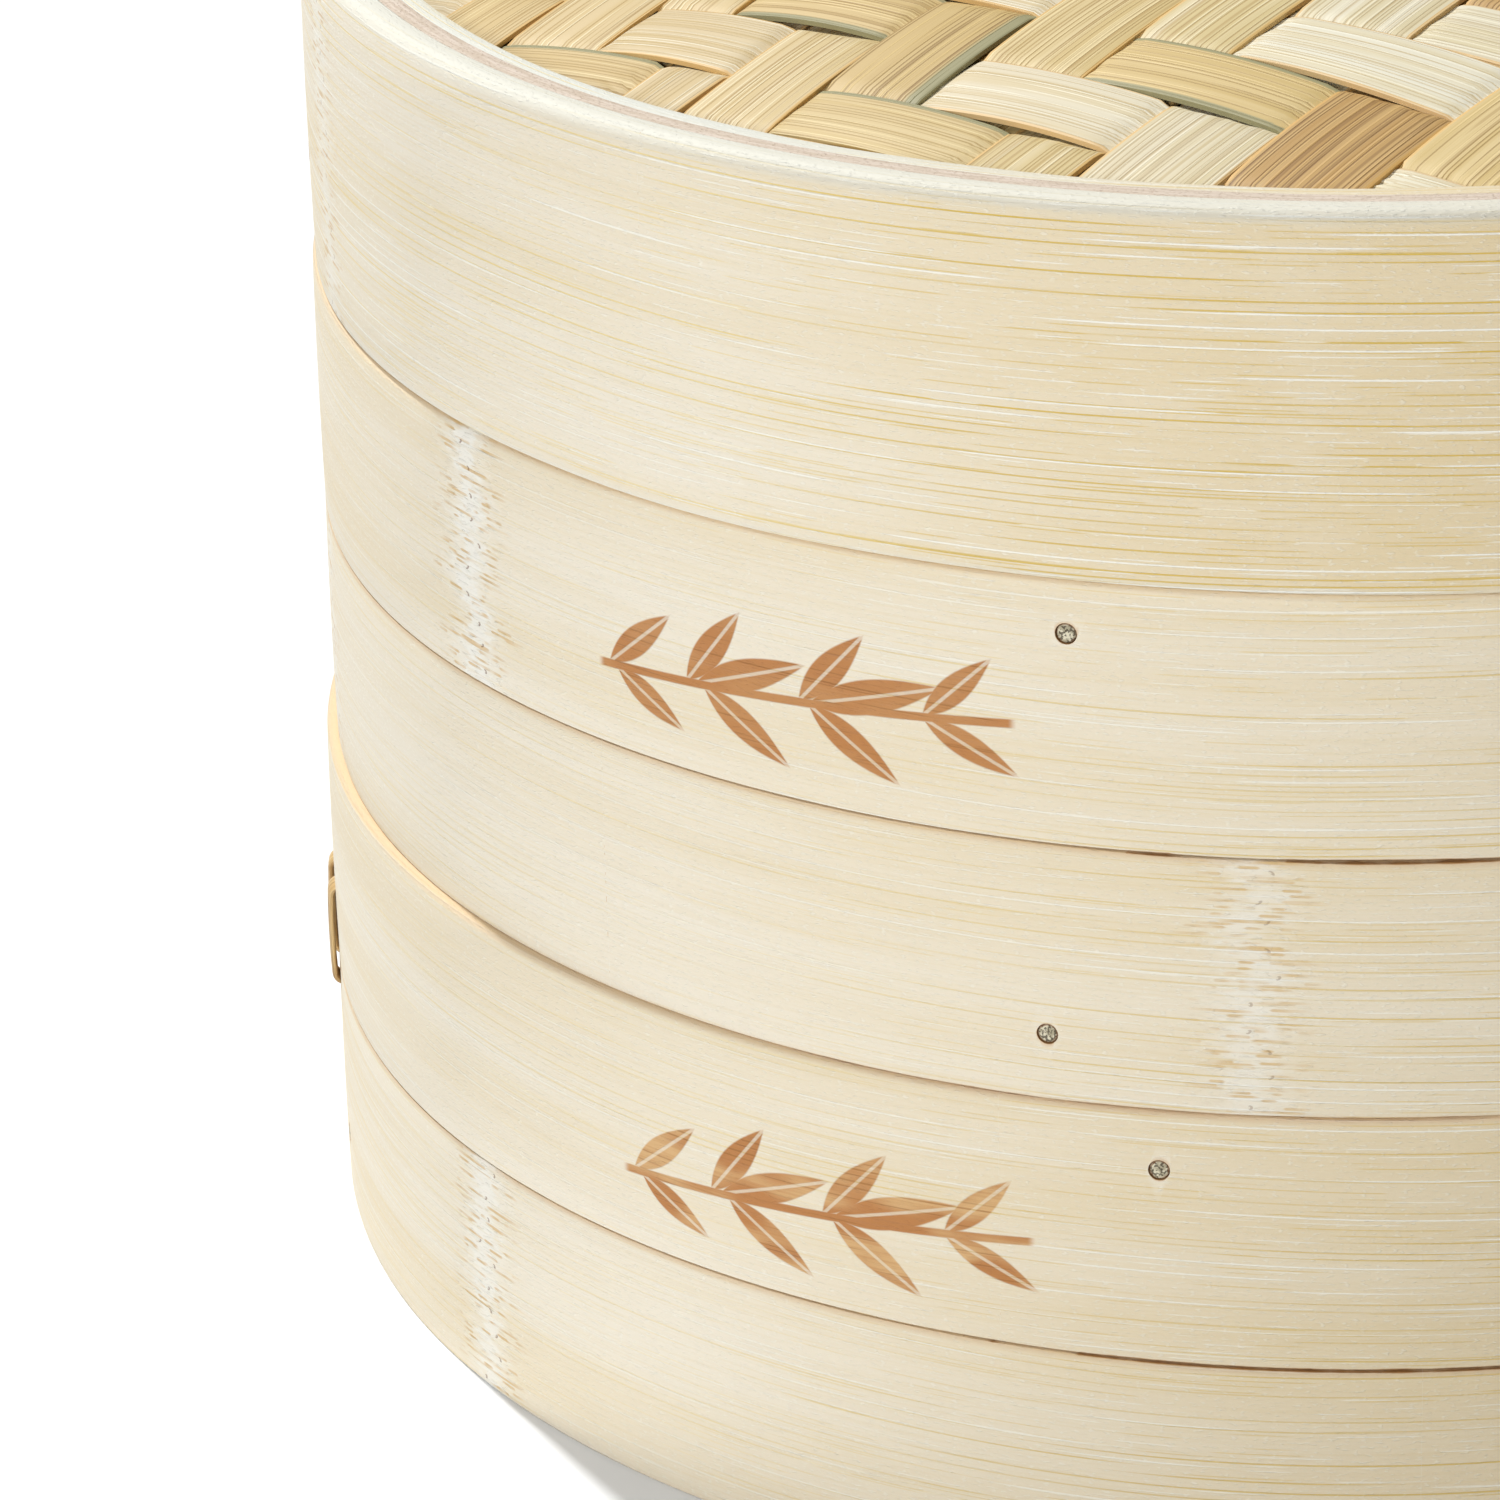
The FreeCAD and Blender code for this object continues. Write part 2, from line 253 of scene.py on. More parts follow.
# ---- materials ----------------------------------------------------------
def leaf_share(s, x, y, base, angle, length, width):
    """1 inside one pointed leaf that starts at base and points along angle."""
    cosine, sine = math.cos(math.radians(angle)), math.sin(math.radians(angle))
    dx, dy = x - base[0], y - base[1]
    along = dx * cosine + dy * sine
    across = abs(dy * cosine - dx * sine)
    t = s.maths("MULTIPLY", along, 1 / length, clamp=True)
    rise = t * (1.0 - t) * (4 * width)
    edge = rise * (1.25 - t * 0.5)
    body = s.step(edge - across, 0.0, 0.22)
    vein = s.step(across, 0.10, 0.24)
    return body * (0.35 + vein * 0.65)


def sprig_share(s, x, y):
    """1 inside a sprig of bamboo leaves, about 50 by 15 mm around the origin."""
    stem_line = abs(y - (-1.6 + x * 0.07))
    stem = s.step(stem_line, 0.52, 0.34) * s.step(abs(x), 23.5, 22.5)
    share = stem
    leaves = [
        ((-22, -3.1), 40, 11, 1.5), ((-21, -3.1), -28, 10, 1.4), ((-12, -2.4), 52, 11, 1.6),
        ((-11, -2.4), 20, 14, 1.7), ((-10, -2.3), -32, 12, 1.6), ((1, -1.5), 48, 11, 1.6),
        ((2, -1.5), 16, 15, 1.8), ((2, -1.4), -34, 12, 1.6), ((14, -0.6), 44, 10, 1.4),
        ((14, -0.6), -26, 11, 1.4),
    ]
    for base, angle, length, width in leaves:
        share = s.maths("MAXIMUM", share, leaf_share(s, x, y, base, angle, length, width))
    return share


def thin_lines(s, u, v, pitch, width, length, least, seed):
    """Thin tapering lines along the grain, one for each pitch across, broken along their
    length: fewer and shorter as least rises."""
    lane = v / pitch
    cell = s.maths("FLOOR", lane)
    middle = 0.28 + s.toss(cell, seed) * 0.44
    away = abs(lane - cell - middle) * pitch
    run = s.noise(u, cell, length, 0.0577, seed)
    body = s.step(run, least, least + 0.10)
    inside = body * (width / 2) - away
    return s.step(inside, -0.035, 0.045) * body


def bamboo_nodes(s, u, v, level, colour, seed):
    """Lays the bamboo's nodes over a colour: pale zones with dashes and small pits. Also gives
    how near a node is, and where the dashes and pits are."""
    strength = s.attribute("node_strength")
    wobble = (s.noise(0.0, level, 1, 5, seed + 12) - 0.5) * 7.0
    distance = s.attribute("node_mm") + wobble
    wave = (s.noise(u, v, 2.6, 0.8, seed + 11, 1.0) - 0.5) * 9.0
    ragged = abs(distance) + wave
    zone = s.step(ragged, 2.8, 0.8) * (strength * strength)
    haze = s.step(abs(distance) + wave * 0.8, 7.0, 1.5) * strength
    colour = s.mix(haze * 0.42, colour, NODE_WHITE)
    colour = s.mix(zone * 0.72, colour, NODE_WHITE)
    near = s.step(abs(distance), 10.5, 1.5) * strength
    dashes = s.maths("MAXIMUM", thin_lines(s, u, v, 0.8, 0.34, 3.4, 0.49, seed + 13),
                     thin_lines(s, u, v, 1.5, 0.32, 8.0, 0.50, seed + 14))
    dashes = dashes * s.step(near, 0.0, 0.75)
    dashes = dashes * s.step(s.noise(u, v, 4, 1.6, seed + 16, 1.0), 0.36, 0.60)
    colour = s.mix(dashes * 0.66, colour, NODE_DASH)
    cell = s.maths("FLOOR", level / PIT_ROW)
    jump = s.toss(cell, seed + 15) - 0.5
    du = distance - (1.0 + jump * 4.0)
    dv = (level / PIT_ROW - cell) * PIT_ROW - (1.5 + jump)
    round_off = s.maths("SQRT", du * du + dv * dv)
    shifted = du + 0.16
    hollow = s.maths("SQRT", shifted * shifted + dv * dv)
    pit = s.step(round_off, 0.32, 0.22) * s.step(hollow, 0.06, 0.20)
    pit = pit * s.step(strength, 0.3, 0.45)
    colour = s.mix(pit * (strength * 0.65), colour, UMBER)
    return colour, near, dashes + pit


def scorched(s, u, v, level, colour, fibre, lines, mark, seed):
    """Burns a leaf sprig into a colour, darker along the fibre lines. Also gives where."""
    burn = sprig_share(s, (u - mark[0]) / MARK_SCALE, (level - mark[1]) / MARK_SCALE)
    patchy = s.step(s.noise(u, v, 12, 5, seed + 23, 1.0), 0.40, 0.62)
    heat = s.mix(patchy * mark[2], SCORCH, SCORCH_PALE)
    heat = s.mix(s.step(fibre, 0.45, 0.65) * 0.3, heat, SCORCH)
    heat = s.mix(lines * 0.5, heat, SCORCH_DARK)
    return s.mix(burn * 0.93, colour, heat), burn


def bamboo(name, seed, pale, deep, mark=None, edges=None, force=(1.0, 1.0, 0.0)):
    """A planed bamboo band: nearly even, with thin golden and chalky lines, a slight fuzz, bamboo
    nodes, and painted shade that makes it yellower towards the front right.

    mark is where a scorched sprig sits in the grain's millimetres; edges is a colour for the top
    edge and how far down it reaches, and also brings painted shade along open cracks; force is
    how many lines there are, how clear they are, and how much clearer where the painted shade
    makes the band golden."""
    s = Shader(name)
    u, level = s.grain()
    many, clear, clearer = force
    # Painted shade also makes the fibre lines more golden and clearer towards the front right.
    clear = clear + s.attribute("tone") * clearer
    line = s.mix(s.maths("MULTIPLY", s.attribute("tone"), 2.5, clamp=True), PALE_LINE, GOLD_LINE)
    sway = s.noise(u, level, 90, 30, seed)
    v = level + (sway - 0.5) * 2.4
    broad = s.noise(u, v, 170, 9, seed + 1.3, 2.0)
    colour = s.mix(s.step(broad, 0.34, 0.68) * 0.6, pale, deep)
    # Painted shade: deeper and yellower towards the front right.
    colour = s.mix(s.attribute("tone") * (0.75 + broad * 0.4), colour, SHADE_HONEY)
    fibre = s.noise(u, v, 30, 0.3, seed + 2.7, 2.0)
    colour = s.mix(s.step(fibre, 0.44, 0.72) * 0.10, colour, GOLD_LINE)
    crowd = (s.noise(u, v, 120, 12, seed + 3.9) - 0.5) * 0.34
    gold = thin_lines(s, u + 31, v, 1.1, 0.19, 75, 0.57 - 0.09 * many, seed + 5)
    gold = gold * s.step(0.5 + crowd, 0.38, 0.54)
    short = thin_lines(s, u, v, 0.75, 0.15, 17, 0.54, seed + 6)
    chalk = thin_lines(s, u, v + 0.4, 1.8, 0.22, 46, 0.50, seed + 7)
    scraps = thin_lines(s, u, v, 0.9, 0.16, 10, 0.56, seed + 8)
    chalk = s.maths("MAXIMUM", chalk, scraps * 0.7)
    speck = s.step(s.noise(u, level, 0.9, 0.32, seed + 10, 1.0), 0.54, 0.72)
    colour = s.mix(speck * 0.30, colour, CHALK)
    colour = s.mix(gold * clear * 0.60, colour, line)
    colour = s.mix(short * clear * 0.40, colour, line)
    colour = s.mix(chalk * clear * 0.58, colour, CHALK)

    if edges:
        top = s.step(s.attribute("edge_mm") + fibre * 0.5, edges[1] + 0.5, 0.2)
        colour = s.mix(top * 0.8, colour, edges[0])
        # Painted shade: brown along the edges where an open crack meets the next band.
        rough = s.noise(u, 0.0, 5, 1, seed + 31, 3.0)
        crack = s.attribute("seam_mm") - (rough - 0.5) * 0.4
        colour = s.mix(s.step(crack, 0.14, 0.0) * 0.9, colour, CRACK_SHADE)

    colour, near, scars = bamboo_nodes(s, u, v, level, colour, seed)
    fuzz = s.noise(u, level, 1.0, 0.32, seed + 19, 1.0)
    flake = s.step(s.noise(u, level, 1.6, 0.45, seed + 21), 0.66, 0.74)
    flake = flake * (0.25 + near * 1.5)
    height = (fuzz + speck) * 0.55 + fibre * 0.25
    height = height + (chalk + flake) * 0.5
    height = height - (gold + scars) * 0.3
    if mark:
        colour, burn = scorched(s, u, v, level, colour, fibre, s.maths("MAXIMUM", gold, short),
                                mark, seed)
        height = height - burn * 0.8
    return s.finish(colour, 0.52 + fuzz * 0.22, height, 0.085, specular=0.22)


def strip(name, seed, pale, deep, line, force=0.5, edges=(None, 0.34, 0.65)):
    """A split bamboo strip: close parallel fibres, and a golden or green line at its sides."""
    s = Shader(name)
    u, v = s.grain()
    v = v + (s.noise(u, v, 70, 8, seed) - 0.5) * 1.2
    broad = s.noise(u, v, 150, 1.7, seed + 1.3, 2.0)
    colour = s.mix(s.step(broad, 0.36, 0.64), pale, deep)
    # Painted shade: darker and more golden towards −X.
    colour = s.mix(s.attribute("tone") * 0.7, colour, SHADE_GOLD)
    dark = thin_lines(s, u, v, 0.58, 0.19, 80, 0.38, seed + 4)
    wide = thin_lines(s, u, v, 1.7, 0.42, 70, 0.47, seed + 5)
    light = thin_lines(s, u, v + 0.2, 0.62, 0.24, 45, 0.48, seed + 6)
    colour = s.mix(light * 0.55, colour, [min(1.0, 1.22 * c) for c in pale])
    colour = s.mix(wide * (force * 0.7), colour, line)
    colour = s.mix(dark * force, colour, line)
    skin = s.step(s.attribute("edge_mm"), edges[1] * 1.25, edges[1] * 0.75)
    colour = s.mix(skin * edges[2], colour, edges[0] or SPLIT_EDGE)
    fibre = s.noise(u, v, 20, 0.2, seed + 9, 1.0)
    height = fibre * 0.5 - dark * 0.5 + light * 0.4
    return s.finish(colour, 0.46 + fibre * 0.2, height, 0.07, specular=0.4)


def raw_strip(name, seed):
    """The middle strip's sawn edge: pinkish brown, porous."""
    s = Shader(name)
    u, v = s.grain()
    grain = s.noise(u, v, 7, 0.45, seed, 2.0)
    pores = s.step(s.noise(u, v, 0.6, 0.3, seed + 3, 1.0), 0.54, 0.68)
    colour = s.mix(s.step(grain, 0.38, 0.66), RAW_EDGE, RAW_PALE)
    colour = s.mix(pores * 0.38, colour, RAW_PORE)
    height = grain - pores
    return s.finish(colour, 0.62 + grain * 0.2, height, 0.05, specular=0.2)


def end_grain(name, seed):
    """A peg's cut end: greyish, with dark vessels and a darker rim."""
    s = Shader(name)
    u, v = s.grain()
    vessels = s.step(s.noise(u, v, 0.34, 0.34, seed, 2.0), 0.50, 0.57)
    patch = s.noise(u, v, 0.8, 0.8, seed + 5, 1.0)
    colour = s.mix(s.step(patch, 0.40, 0.60), linear(226, 217, 190), linear(178, 168, 140))
    colour = s.mix(vessels * 0.85, colour, linear(74, 62, 44))
    rim = s.step(s.attribute("edge_mm") + (patch - 0.5) * 0.5, 0.20, 0.04)
    colour = s.mix(rim * 0.75, colour, UMBER)
    return s.finish(colour, 0.6 + patch * 0.2, 1.0 - vessels, 0.06)


def cane(name, seed):
    """Flat cane lashing: tan, with long fibres and a slight gloss."""
    s = Shader(name)
    u, v = s.grain()
    fibre = s.noise(u, v, 14, 0.3, seed, 2.0)
    patch = s.noise(u, v, 9, 2.0, seed + 2, 1.0)
    colour = s.mix(s.step(patch, 0.35, 0.7), linear(214, 184, 130), linear(176, 138, 84))
    colour = s.mix(s.step(fibre, 0.45, 0.68) * 0.5, colour, linear(128, 92, 50))
    return s.finish(colour, 0.38 + fibre * 0.2, fibre, 0.08, specular=0.5)


# ---- mesh helpers -------------------------------------------------------
def wander(angles, seed, amplitude, slowest, fastest):
    """A smooth wobble that closes on itself after a full turn."""
    rng = random.Random(seed)
    total = np.zeros_like(angles)
    for waves in range(slowest, fastest + 1):
        phase = rng.uniform(0, 2 * math.pi)
        total += rng.uniform(0.5, 1.0) / waves ** 0.5 * np.sin(waves * angles + phase)
    return amplitude * total / max(1e-9, np.abs(total).max())


def swept(name, loops, along, across, closed=False, **layers):
    """A mesh from cross-section loops, an array of spans by points by XYZ in millimetres.

    along and across are the grain's millimetres for each loop and each point around it.
    layers are values for the shaders, one for each point or, as a column, for each loop."""
    spans, points = loops.shape[:2]
    mesh = bpy.data.meshes.new(name)
    faces, corners = [], []
    rows = spans if closed else spans - 1
    for i in range(rows):
        nxt = (i + 1) % spans
        for j in range(points):
            k = (j + 1) % points
            faces.append((i * points + j, i * points + k, nxt * points + k, nxt * points + j))
            corners += [(along[i], across[j]), (along[i], across[j + 1])]
            corners += [(along[i + 1], across[j + 1]), (along[i + 1], across[j])]
    if not closed:
        for i, order in ((0, range(points - 1, -1, -1)), (spans - 1, range(points))):
            faces.append(tuple(i * points + j for j in order))
            corners += [(along[i] + j * 0.05, across[j]) for j in order]
    mesh.from_pydata((loops.reshape(-1, 3) * MM).tolist(), [], faces)
    layer = mesh.uv_layers.new(name="grain")
    layer.data.foreach_set("uv", np.array(corners, np.float32).ravel())
    shell = bmesh.new()
    shell.from_mesh(mesh)
    bmesh.ops.recalc_face_normals(shell, faces=shell.faces)
    shell.to_mesh(mesh)
    shell.free()
    for layer_name, values in layers.items():
        values = np.broadcast_to(values, loops.shape[:2]).astype(np.float32)
        mesh.attributes.new(layer_name, "FLOAT", "POINT").data.foreach_set("value", values.ravel())
    return mesh


def shown(name, data):
    """A new object in the scene."""
    obj = bpy.data.objects.new(name, data)
    bpy.context.scene.collection.objects.link(obj)
    return obj


def piece(mesh, material, node, sharp=40):
    """Puts a finished mesh on its body, in place of its CAD node."""
    mesh.materials.append(material)
    mesh.shade_smooth()
    mesh.set_sharp_from_angle(angle=math.radians(sharp))
    obj = shown(mesh.name, mesh)
    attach(obj, body_of(node))
    slot_of(node)
    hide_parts(node)


def joined(name, meshes):
    """Several meshes as one, keeping their grain and values."""
    parts = [shown(name, mesh) for mesh in meshes]
    with bpy.context.temp_override(active_object=parts[0], selected_editable_objects=parts):
        bpy.ops.object.join()
    mesh = parts[0].data
    bpy.data.objects.remove(parts[0])
    mesh.name = name
    return mesh


def dashed(node):
    return node.replace("_", "-")


def headings(angle):
    """Unit vectors at an angle from +X, and a quarter turn further."""
    turn = math.radians(angle)
    return np.array([math.cos(turn), math.sin(turn)]), np.array([-math.sin(turn), math.cos(turn)])


# ---- reading the frame --------------------------------------------------
def box_of(node):
    """A CAD node's lowest and highest corners in millimetres."""
    return (np.array(corner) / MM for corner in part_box(node))


def points_of(node):
    """A CAD node's mesh points in millimetres."""
    return np.array([vertex.co for vertex in frame["nodes"][node].data.vertices]) / MM


def ring_of(node):
    """Centre, inner and outer radius, and lowest and highest point of a hoop, in millimetres."""
    low, high = box_of(node)
    centre = (low + high)[:2] / 2
    radii = np.hypot(*(points_of(node)[:, :2] - centre).T)
    return centre, radii.min(), radii.max(), low[2], high[2]


def body_of(node):
    bodies = frame["record"]["behaviour"]["bodies"]
    return next(body for body, nodes in bodies.items() if node in nodes)


def slot_of(node):
    parts = frame["record"]["subparts"]
    return next(part["material_slot"] for part in parts if part["node"] == node)


def solids_of(node):
    """The boxes of a node's separate solids, as lowest and highest corners in millimetres."""
    points = points_of(node)
    keys = [tuple(key) for key in np.round(points, 3)]
    first = {}
    link = list(range(len(points)))

    def root(i):
        while link[i] != i:
            link[i] = link[link[i]]
            i = link[i]
        return i

    for i, key in enumerate(keys):
        link[root(i)] = root(first.setdefault(key, i))
    for polygon in frame["nodes"][node].data.polygons:
        corners = list(polygon.vertices)
        for other in corners[1:]:
            link[root(other)] = root(corners[0])
    groups = {}
    for i in range(len(points)):
        groups.setdefault(root(i), []).append(i)
    return [(points[g].min(0), points[g].max(0)) for g in groups.values()]


# ---- hoops --------------------------------------------------------------
def hoop_section(edge, low_edge, top_edge):
    """A hoop's cross-section as (share outwards, share upwards, dr, dz) points.

    It starts at the outer bottom edge and goes up the outside."""
    points = []

    def corner(out, up, radius, start):
        toward = (-1 if out else 1, -1 if up else 1)
        for step in range(5):
            turn = math.radians(start + step * 22.5)
            points.append((out, up, toward[0] * radius + radius * math.cos(turn),
                           toward[1] * radius + radius * math.sin(turn)))

    corner(1, 0, low_edge, -90)
    points.extend((1, row / 8, 0, 0) for row in range(1, 8))
    corner(1, 1, top_edge, 0)
    corner(0, 1, edge, 90)
    points.extend((0, 1 - row / 4, 0, 0) for row in range(1, 4))
    corner(0, 0, edge, 180)
    return points


def ends_scarfed(radius):
    """Angles round a strip whose two thinned ends overlap, and the shares of its thickness
    where its inside and outside lie at each angle."""
    half = math.degrees(SCARF_LENGTH / radius) / 2
    small = 0.2
    slopes = np.linspace(-half, half, 13)
    turn = np.concatenate([slopes, np.linspace(half + small, 360 - half - small, HOOP_STEPS),
                           slopes + 360])
    share = (slopes + half) / (2 * half)
    parting = 1 - SCARF_FEATHER - (1 - 2 * SCARF_FEATHER) * share
    inside, outside = np.zeros_like(turn), np.ones_like(turn)
    inside[:13] = parting
    outside[-13:] = parting
    return turn, inside, outside


def hoop(node, joint, seed, low_gap=None, high_gap=None, top_edge=EDGE_ROUND, edge=EDGE_ROUND,
         low_round=EDGE_ROUND, shape_seed=None, marks=(), bulge=0.0, flare=None, low_edge=0.1,
         seams=""):
    """A bent strip in place of a CAD hoop, with eased edges and a slight wobble.

    The gaps and the outward flare of the lower edge vary with the angle; seams names the
    edges (top, low) where shade is painted along the open crack against the next strip. Also
    gives how far along the grain the joint lies."""
    centre, inner, outer, bottom, top = ring_of(node)
    turn, inside, outside = ends_scarfed(outer)
    angle = np.radians(turn + joint)
    shape = wander(angle, shape_seed or seed, 0.16, 2, 9)
    below = low_gap(angle) if low_gap else 0 * angle
    above = high_gap(angle) if high_gap else 0 * angle
    low, high = bottom + below, top - above
    thick = outer - inner
    section = hoop_section(edge, low_round, top_edge)
    loops = np.zeros((len(angle), len(section), 3))
    squeeze = np.clip((outside - inside) * 1.6, 0.05, 1.0)
    ease = np.where(inside > 0, 0.03, 0.0)
    below_top, seam_away = np.zeros((2, len(angle), len(section)))
    for j, (out, up, dr, dz) in enumerate(section):
        share = outside if out else inside
        radius = inner + thick * share + (0 if out else 1) * ease + dr * squeeze + shape
        height = low + (high - low) * up + dz
        radius = radius + bulge * out * 4 * up * (1 - up)
        if flare:
            radius = radius + flare(angle) * out * (1 - up) ** 3
        loops[:, j, 0] = centre[0] + radius * np.cos(angle)
        loops[:, j, 1] = centre[1] + radius * np.sin(angle)
        loops[:, j, 2] = height
        below_top[:, j] = np.minimum(high - height, height - low + low_edge)
        # How far each point is from an open crack, for the painted shade along it.
        to_top = high - height + 9 * np.clip(1 - above / 0.06, 0, 1)
        to_low = height - low + 9 * np.clip(1 - below / 0.06, 0, 1)
        nearest = np.minimum(to_top if "top" in seams else 9, to_low if "low" in seams else 9)
        seam_away[:, j] = nearest + 0.45 * (1 - out)
    shift = random.Random(seed).uniform(0, 50)
    along = np.radians(turn) * outer + shift
    steps = np.linalg.norm(np.diff(loops[20], axis=0, append=loops[20][:1]), axis=1)
    across = np.concatenate([[0], np.cumsum(steps)])
    # Painted shade: yellower and deeper towards the front right, by a share for each tier, with a
    # little random variation along the strip.
    tone = np.clip((np.cos(angle - math.radians(SHADE_TONE_ANGLE)) - 0.25) / 0.75, 0, 1)
    tone = np.clip(tone + wander(angle, seed + 5, 0.12, 2, 6), 0, 1) * SHADE_TONE_SHARES[node.split("_")[0]]
    distance, strength = np.full(len(angle), 99.0), np.zeros(len(angle))
    for where, white in marks:
        gap = (np.degrees(angle) - where + 180) % 360 - 180
        gap_mm = np.radians(gap) * outer
        nearer = np.abs(gap_mm) < np.abs(distance)
        distance[nearer] = gap_mm[nearer]
        strength[nearer] = white
    mesh = swept(dashed(node), loops, along, across, edge_mm=below_top, seam_mm=seam_away,
                 tone=tone[:, None], node_mm=distance[:, None], node_strength=strength[:, None])
    return mesh, shift


def mark_place(node, joint, shift):
    """A scorched mark's place in its band's grain."""
    where, height, patchy = SCORCH_MARKS[node]
    outer = ring_of(node)[2]
    return math.radians((where - joint) % 360) * outer + shift, height, patchy


def cut_holes(mesh, cutters):
    """Takes the cutters' shapes out of a mesh."""
    if not cutters:
        return mesh
    target, tool = shown("target", mesh), shown("tool", joined("tool", cutters))
    cut = target.modifiers.new("cut", "BOOLEAN")
    cut.operation = "DIFFERENCE"
    cut.solver = "EXACT"
    cut.object = tool
    ready = target.evaluated_get(bpy.context.evaluated_depsgraph_get())
    result = bpy.data.meshes.new_from_object(ready)
    result.name = mesh.name
    result.materials.clear()
    for obj in (target, tool):
        bpy.data.objects.remove(obj)
    return result


def rod(name, start, direction, length, radius, dome=0.0, seed=0.0):
    """A round peg with eased, slightly domed ends."""
    axis = Vector(direction).normalized()
    side = axis.cross(Vector((0, 0, 1)) if abs(axis.z) < 0.9 else Vector((1, 0, 0))).normalized()
    up = axis.cross(side)
    rings = [(0.0, 0.02), (0.0, 0.5), (0.01, 0.86), (0.08, 1.0)]
    stations = [(at - dome * (1 - share ** 2), share) for at, share in rings]
    stations += [(length - at, share) for at, share in reversed(stations)]
    points = 20
    loops = np.zeros((len(stations), points, 3))
    edge = np.zeros((len(stations), points))
    for i, (at, share) in enumerate(stations):
        for j in range(points):
            turn = 2 * math.pi * j / points
            spot = Vector(start) + axis * at
            spot += (side * math.cos(turn) + up * math.sin(turn)) * radius * share
            loops[i, j] = spot
            edge[i, j] = radius * (1 - share)
    mesh = swept(name, loops, [0] * len(stations), [0] * (points + 1), edge_mm=edge)
    flat = loops.reshape(-1, 3) @ np.array([side, up]).T
    corners = np.array([flat[loop.vertex_index] for loop in mesh.loops], np.float32)
    mesh.uv_layers["grain"].data.foreach_set("uv", (corners + seed).ravel())
    return mesh


def radial_rods(node, radius, name, proud=-0.12):
    """Rods along the CAD pegs of a group that points outwards, longer by proud at each end."""
    rods = []
    boxes = solids_of(node)
    middle = sum((low + high) / 2 for low, high in boxes) / len(boxes)
    boxes.sort(key=lambda box: (round(box[0][0], 2), round(box[0][1], 2)))
    for i, (low, high) in enumerate(boxes):
        spot = (low + high) / 2
        outward = Vector((spot[0] - middle[0], spot[1] - middle[1], 0)).normalized()
        along_x, along_y = abs(outward.x), abs(outward.y)
        wide, deep, tall = high - low
        length = wide * along_x + deep * along_y - 2 * tall * along_x * along_y + 2 * proud
        start = Vector(spot) - outward * length / 2
        rods.append(rod(f"{name}_{i}", start, outward, length, radius, 0.05, seed=3.0 * i))
    return rods


# ---- laths: slats, battens, ribs and woven strips -----------------------
def lath(name, angle, offset, width, thick, centre, reach, middle, seed, step=1.5, crown=0.0,
         skin=None, roll=None):
    """A strip of bamboo that crosses a circle, with ends cut to the circle.

    middle(x, y, along) gives the height of its middle plane; skin says which sides keep
    their skin: left, right or both."""
    rng = random.Random(seed)
    direction, normal = headings(angle)
    shares = np.array([-1, -0.985, -0.93, -0.62, -0.3, 0, 0.3, 0.62, 0.93, 0.985, 1.0])
    ring = np.concatenate([shares, shares[::-1]])
    side = np.repeat([1, -1], len(shares))
    half_width = width / 2
    longest = math.sqrt(max(1.0, reach ** 2 - max(0, abs(offset) - half_width) ** 2))
    spans = max(8, int(2 * longest / step))
    t = np.linspace(-1, 1, spans)
    drift = 0.25 * np.sin(t * rng.uniform(2, 5) + rng.uniform(0, 6))
    loops = np.zeros((spans, len(ring), 3))
    for j, (share, top) in enumerate(zip(ring, side)):
        across = offset + share * half_width
        limit = np.minimum(np.abs(across), reach - 0.05)
        half_length = np.sqrt(reach ** 2 - limit ** 2)
        along = t * half_length
        clipped = np.clip(across + drift, -reach + 0.05, reach - 0.05)
        x = centre[0] + direction[0] * along + normal[0] * clipped
        y = centre[1] + direction[1] * along + normal[1] * clipped
        half_thick = thick / 2 * (1 - 0.22 * abs(share) ** 60)
        lift = crown * (1 - share ** 2) * (1 if top > 0 else 0.4)
        tilt = roll(along) * share if roll else 0
        loops[:, j, 0], loops[:, j, 1] = x, y
        loops[:, j, 2] = middle(x, y, along) + top * half_thick + lift + tilt
    start = rng.uniform(0, 400)
    along = t * longest + longest + start
    steps = [0.0]
    order = list(ring) + [ring[0]]
    for a, b in zip(order, order[1:]):
        steps.append(steps[-1] + max(0.02, abs(b - a)) * half_width)
    across = np.array(steps) + rng.uniform(0, 300)
    left, right = (ring + 1) * half_width, (1 - ring) * half_width
    choice = {"left": left, "right": right, "both": np.minimum(left, right), None: 9.0}
    # Painted shade: the strip is coloured darker and more golden towards −X.
    return swept(name, loops, along, across, edge_mm=choice[skin],
                 tone=np.clip(-(loops[:, :, 0] - centre[0] + 5) / 70, 0, 1))


# ---- the weave ----------------------------------------------------------
def strip_edges(pitch, first_edge, count_low, count_high, widths):
    """Edges between neighbouring strips: edges[i] to edges[i + 1] is strip i. Some have widths
    of their own."""
    edges = {0: first_edge}
    for i in range(count_high):
        edges[i + 1] = edges[i] + widths.get(i, pitch)
    for i in range(0, count_low, -1):
        edges[i - 1] = edges[i] - widths.get(i - 1, pitch)
    return edges


